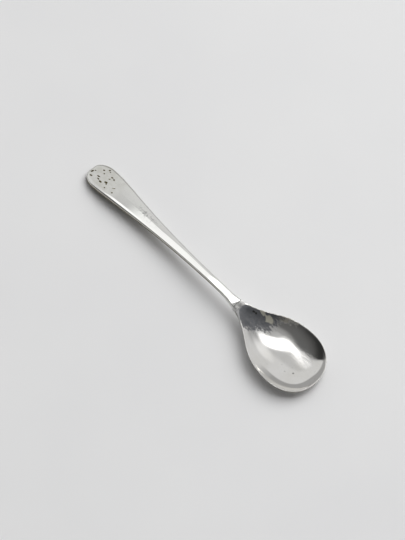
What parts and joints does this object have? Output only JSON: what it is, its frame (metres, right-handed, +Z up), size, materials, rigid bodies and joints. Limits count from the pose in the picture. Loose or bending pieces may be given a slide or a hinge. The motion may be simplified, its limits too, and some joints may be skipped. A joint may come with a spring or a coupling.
{
  "type": "mustard spoon",
  "caption": "Small silver mustard spoon: an egg-shaped bowl soldered to the tongue of a slim handle that widens to a rounded flat end.",
  "frame": {"origin": "on the table under the middle of the spoon's length and width", "axes": "+X along the spoon from the handle tip to the bowl tip, +Y across it to the left, +Z up from the table, out of the bowl"},
  "size_m": [0.08, 0.0172, 0.005],
  "materials": {
    "bowl_silver": "polished silver with fine scratches and light tarnish near the rim",
    "handle_silver": "worn polished silver with dark pits at the end",
    "solder": "dull filed hard solder"
  },
  "bodies": {
    "root": {"bowl": "bowl_silver", "handle": "handle_silver", "solder_seam": "solder"}
  },
  "joints": []
}
